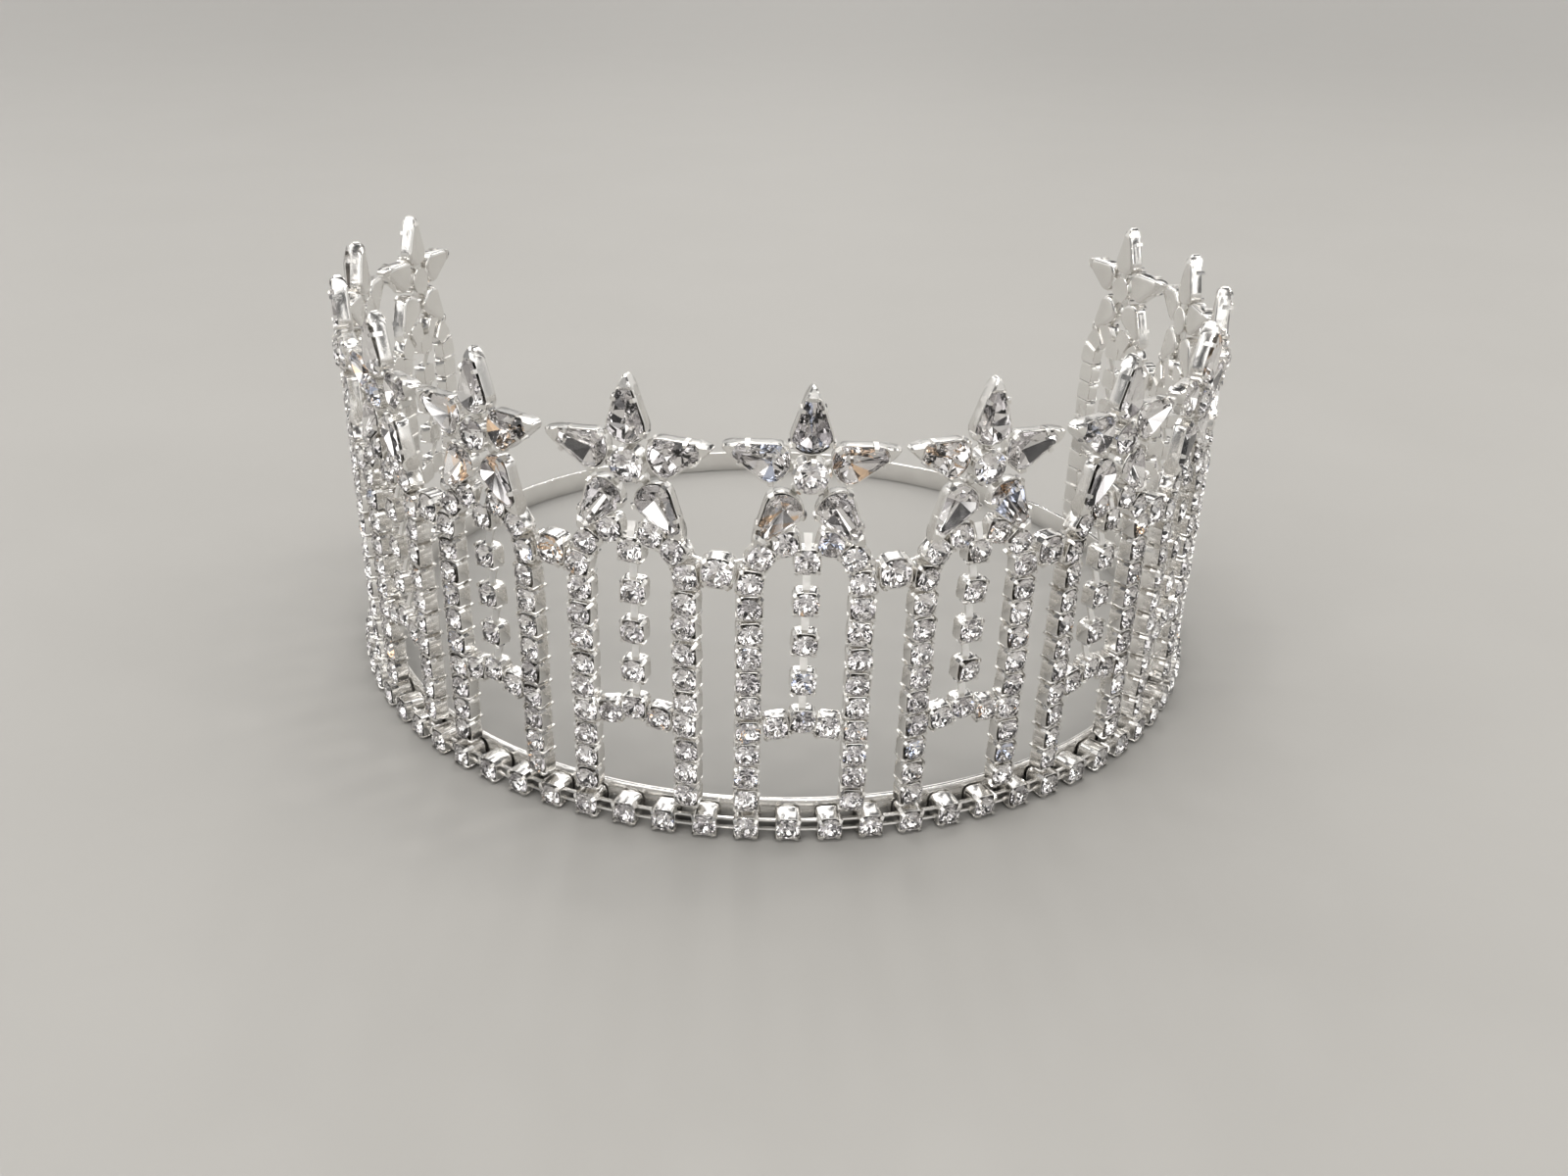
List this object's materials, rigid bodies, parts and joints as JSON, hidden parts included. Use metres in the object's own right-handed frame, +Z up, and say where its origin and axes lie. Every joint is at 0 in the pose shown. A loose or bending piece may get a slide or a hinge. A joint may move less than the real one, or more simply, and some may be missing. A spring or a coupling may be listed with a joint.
{
  "type": "pageant crown",
  "caption": "Open-backed standing crown: arches of clear-stone cup chain on a round metal band, each topped by a five-pointed star of pear stones.",
  "frame": {"origin": "centre of the crown's box, on the surface that the band stands on", "axes": "+Z up, the front arch faces -Y, +X to the right as seen from the front"},
  "size_m": [0.1666, 0.1618, 0.0743],
  "materials": {
    "silver": "polished silver-tone plate with fine handling marks",
    "crystal": "clear faceted crystal, foiled behind"
  },
  "bodies": {
    "root": {"base_band": "silver", "base_chain": "silver", "arch_01": "silver", "arch_02": "silver", "arch_03": "silver", "arch_04": "silver", "arch_05": "silver", "arch_06": "silver", "arch_07": "silver", "arch_08": "silver", "arch_09": "silver", "arch_10": "silver", "arch_11": "silver", "arch_12": "silver", "arch_13": "silver", "star_01": "crystal", "star_02": "crystal", "star_03": "crystal", "star_04": "crystal", "star_05": "crystal", "star_06": "crystal", "star_07": "crystal", "star_08": "crystal", "star_09": "crystal", "star_10": "crystal", "star_11": "crystal", "star_12": "crystal", "star_13": "crystal", "spacer_01": "crystal", "spacer_02": "crystal", "spacer_03": "crystal", "spacer_04": "crystal", "spacer_05": "crystal", "spacer_06": "crystal", "spacer_07": "crystal", "spacer_08": "crystal", "spacer_09": "crystal", "spacer_10": "crystal", "spacer_11": "crystal", "spacer_12": "crystal"}
  },
  "joints": []
}
